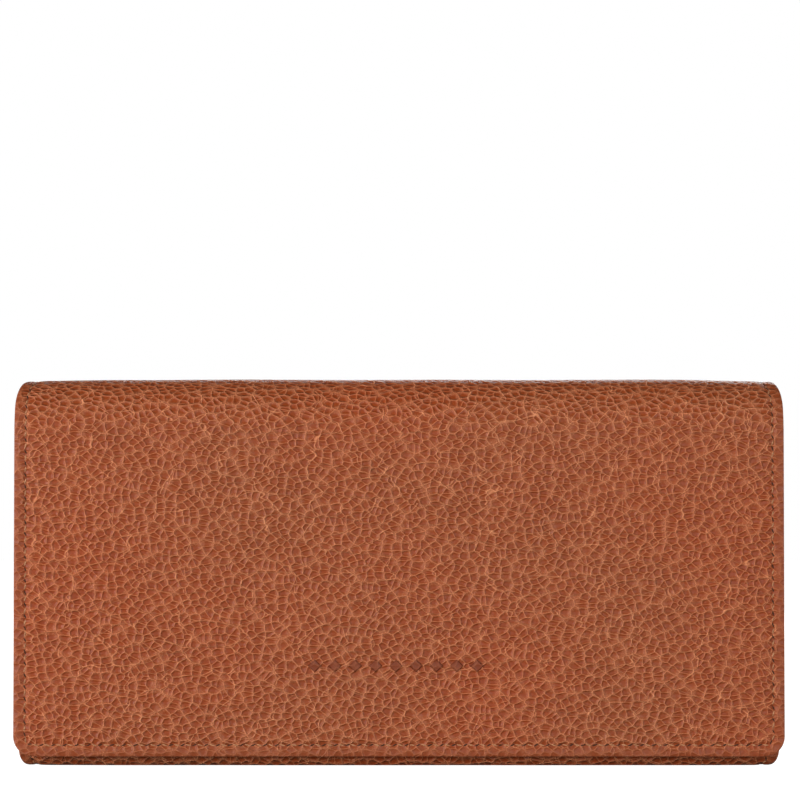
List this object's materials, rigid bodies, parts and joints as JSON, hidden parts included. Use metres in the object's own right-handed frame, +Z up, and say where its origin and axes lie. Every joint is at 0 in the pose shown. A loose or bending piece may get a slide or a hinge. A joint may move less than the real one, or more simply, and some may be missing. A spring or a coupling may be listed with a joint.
{
  "type": "long wallet",
  "caption": "Standing long wallet: a fold-over flap covers a stitched leather body with note compartments, card slots and a zipped coin pocket.",
  "frame": {"origin": "middle of the wallet's footprint, on the surface it stands on", "axes": "+X along the width, +Y from the flap's face to the back, +Z up"},
  "size_m": [0.19, 0.029, 0.0955],
  "materials": {
    "grained_leather": "pebble grain, satin",
    "smooth_leather": "smooth, matt",
    "thread": "waxed thread",
    "board": "pressed fibre board",
    "lining_cloth": "fine twill",
    "zip_tape": "woven tape",
    "brass": "light antique polish"
  },
  "bodies": {
    "back": {"back_cover": "grained_leather", "back_board": "board", "back_lining": "smooth_leather", "base_lining": "smooth_leather", "back_stitches": "thread", "slip_pocket_wall": "smooth_leather", "card_slot_left_1": "smooth_leather", "card_slot_left_2": "smooth_leather", "card_slot_left_3": "smooth_leather", "card_slot_left_4": "smooth_leather", "card_slot_right_1": "smooth_leather", "card_slot_right_2": "smooth_leather", "card_slot_right_3": "smooth_leather", "card_slot_right_4": "smooth_leather", "rear_gusset_left_back_leaf": "smooth_leather", "rear_gusset_right_back_leaf": "smooth_leather"},
    "spine": {"spine_cover": "grained_leather", "spine_lining": "smooth_leather", "spine_stitches": "thread"},
    "flap": {"flap_cover": "grained_leather", "flap_board": "board", "flap_lining": "smooth_leather", "flap_stitches": "thread", "snap_socket": "brass", "snap_socket_plate": "brass"},
    "front": {"front_cover": "grained_leather", "front_board": "board", "front_lining": "smooth_leather", "front_stitches": "thread", "snap_stud": "brass", "snap_stud_cap": "brass", "front_gusset_left_front_leaf": "smooth_leather", "front_gusset_right_front_leaf": "smooth_leather"},
    "pocket": {"pocket_front_wall": "smooth_leather", "pocket_rear_wall": "smooth_leather", "pocket_base": "smooth_leather", "pocket_side_left": "smooth_leather", "pocket_side_right": "smooth_leather", "pocket_bag": "lining_cloth", "front_gusset_left_pocket_leaf": "smooth_leather", "front_gusset_right_pocket_leaf": "smooth_leather", "rear_gusset_left_pocket_leaf": "smooth_leather", "rear_gusset_right_pocket_leaf": "smooth_leather", "zip_tape_front": "zip_tape", "zip_tape_rear": "zip_tape", "zip_teeth_front": "brass", "zip_teeth_rear": "brass", "zip_top_stops": "brass", "zip_bottom_stop": "brass"},
    "zip_slider": {"zip_slider_body": "brass"},
    "zip_pull": {"zip_pull_tab": "brass"}
  },
  "joints": [
    {"name": "spine_fold", "type": "hinge", "parent": "back", "child": "spine", "pos_m": [0, 0.01186, 0.09286], "axis": [-1, 0, 0], "range_deg": [0, 100]},
    {"name": "flap_fold", "type": "hinge", "parent": "spine", "child": "flap", "pos_m": [0, -0.01069, 0.09169], "axis": [-1, 0, 0], "range_deg": [0, 95]},
    {"name": "pocket_fan", "type": "hinge", "parent": "back", "child": "pocket", "pos_m": [0, -0.0106, 0.0035], "axis": [1, 0, 0], "range_deg": [0, 6]},
    {"name": "front_fan", "type": "hinge", "parent": "pocket", "child": "front", "pos_m": [0, -0.0106, 0.0035], "axis": [1, 0, 0], "range_deg": [0, 6]},
    {"name": "zip_slide", "type": "slide", "parent": "pocket", "child": "zip_slider", "axis": [-1, 0, 0], "range_m": [0, 0.141]},
    {"name": "pull_swing", "type": "hinge", "parent": "zip_slider", "child": "zip_pull", "pos_m": [0.07, 0.0002, 0.07845], "axis": [0, 1, 0], "range_deg": [0, 180]}
  ],
  "couplings": [
    {"joint": "pocket_fan", "follows": "spine_fold", "ratio": 0.055},
    {"joint": "front_fan", "follows": "spine_fold", "ratio": 0.055}
  ]
}
